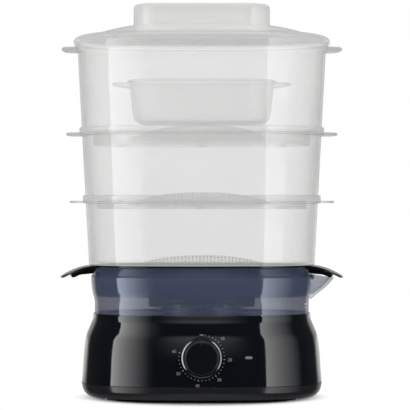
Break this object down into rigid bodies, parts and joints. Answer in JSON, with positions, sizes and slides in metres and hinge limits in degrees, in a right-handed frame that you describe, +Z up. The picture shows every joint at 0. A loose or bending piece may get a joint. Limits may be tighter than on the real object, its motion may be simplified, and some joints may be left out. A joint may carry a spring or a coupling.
{
  "type": "electric food steamer",
  "caption": "Electric food steamer: black base with a turning timer knob, tinted water tank with spout, drip tray, stacked translucent bowls with lift-out floors, soup bowl and lid.",
  "frame": {"origin": "on the worktop, under the middle of the object's outline seen from above", "axes": "+Z up; front, with the knob, towards -Y; +X to the right seen from the front, on the spout's side"},
  "size_m": [0.291, 0.2422, 0.4028],
  "materials": {
    "gloss_black": "gloss",
    "tray_black": "gloss",
    "knob_black": "satin",
    "cover_black": "gloss",
    "foot_rubber": "matt",
    "seal_rubber": "matt",
    "grommet_black": "matt",
    "tank_tint": "tinted translucent",
    "bowl_clear": "translucent",
    "floor_clear": "translucent",
    "soup_clear": "translucent",
    "lid_clear": "translucent",
    "ring_plastic": "satin",
    "chrome": "polished",
    "steel": "brushed",
    "element_sheath": "satin",
    "brass": "plain",
    "block_white": "matt",
    "timer_case": "matt",
    "fuse_ceramic": "matt",
    "lamp_glass": "clear",
    "lens_clear": "clear",
    "lead_plastic": "matt"
  },
  "bodies": {
    "base": {"bottom_cover": "cover_black", "feet": "foot_rubber", "case_screws": "steel", "base_housing": "gloss_black", "cord_inlet": "grommet_black", "terminal_block": "block_white", "water_tank": "tank_tint", "heater_cup": "steel", "heater_seal": "seal_rubber", "heater_clamp": "steel", "heater_screws": "steel", "heating_element": "element_sheath", "boil_dry_thermostat": "fuse_ceramic", "thermal_fuse": "fuse_ceramic", "timer_body": "timer_case", "timer_bell": "steel", "timer_screws": "steel", "indicator_lens": "lens_clear", "lamp_holder": "block_white", "indicator_lamp": "lamp_glass", "internal_leads": "lead_plastic"},
    "knob": {"timer_knob": "knob_black", "knob_ring": "chrome", "timer_shaft": "brass"},
    "steam_ring": {"steam_ring": "ring_plastic"},
    "drip_tray": {"drip_tray": "tray_black"},
    "bowl_1": {"bowl_1": "bowl_clear"},
    "floor_1": {"floor_1": "floor_clear"},
    "bowl_2": {"bowl_2": "bowl_clear"},
    "floor_2": {"floor_2": "floor_clear"},
    "bowl_3": {"bowl_3": "bowl_clear"},
    "floor_3": {"floor_3": "floor_clear"},
    "soup_bowl": {"soup_bowl": "soup_clear"},
    "lid": {"lid": "lid_clear"}
  },
  "joints": [
    {"name": "knob_turn", "type": "hinge", "parent": "base", "child": "knob", "pos_m": [0, -0.112, 0.0457], "axis": [0, 1, 0], "range_deg": [0, 283]},
    {"name": "steam_ring_lift", "type": "slide", "parent": "base", "child": "steam_ring", "axis": [0, 0, 1], "range_m": [0, 0.05]},
    {"name": "drip_tray_lift", "type": "slide", "parent": "steam_ring", "child": "drip_tray", "axis": [0, 0, 1], "range_m": [0, 0.04]},
    {"name": "bowl_1_lift", "type": "slide", "parent": "drip_tray", "child": "bowl_1", "axis": [0, 0, 1], "range_m": [0, 0.03]},
    {"name": "floor_1_lift", "type": "slide", "parent": "bowl_1", "child": "floor_1", "axis": [0, 0, 1], "range_m": [0, 0.085]},
    {"name": "bowl_2_lift", "type": "slide", "parent": "floor_1", "child": "bowl_2", "axis": [0, 0, 1], "range_m": [0, 0.03]},
    {"name": "floor_2_lift", "type": "slide", "parent": "bowl_2", "child": "floor_2", "axis": [0, 0, 1], "range_m": [0, 0.09]},
    {"name": "bowl_3_lift", "type": "slide", "parent": "floor_2", "child": "bowl_3", "axis": [0, 0, 1], "range_m": [0, 0.03]},
    {"name": "floor_3_lift", "type": "slide", "parent": "bowl_3", "child": "floor_3", "axis": [0, 0, 1], "range_m": [0, 0.11]},
    {"name": "soup_bowl_lift", "type": "slide", "parent": "floor_3", "child": "soup_bowl", "axis": [0, 0, 1], "range_m": [0, 0.09]},
    {"name": "lid_lift", "type": "slide", "parent": "soup_bowl", "child": "lid", "axis": [0, 0, 1], "range_m": [0, 0.06]}
  ]
}
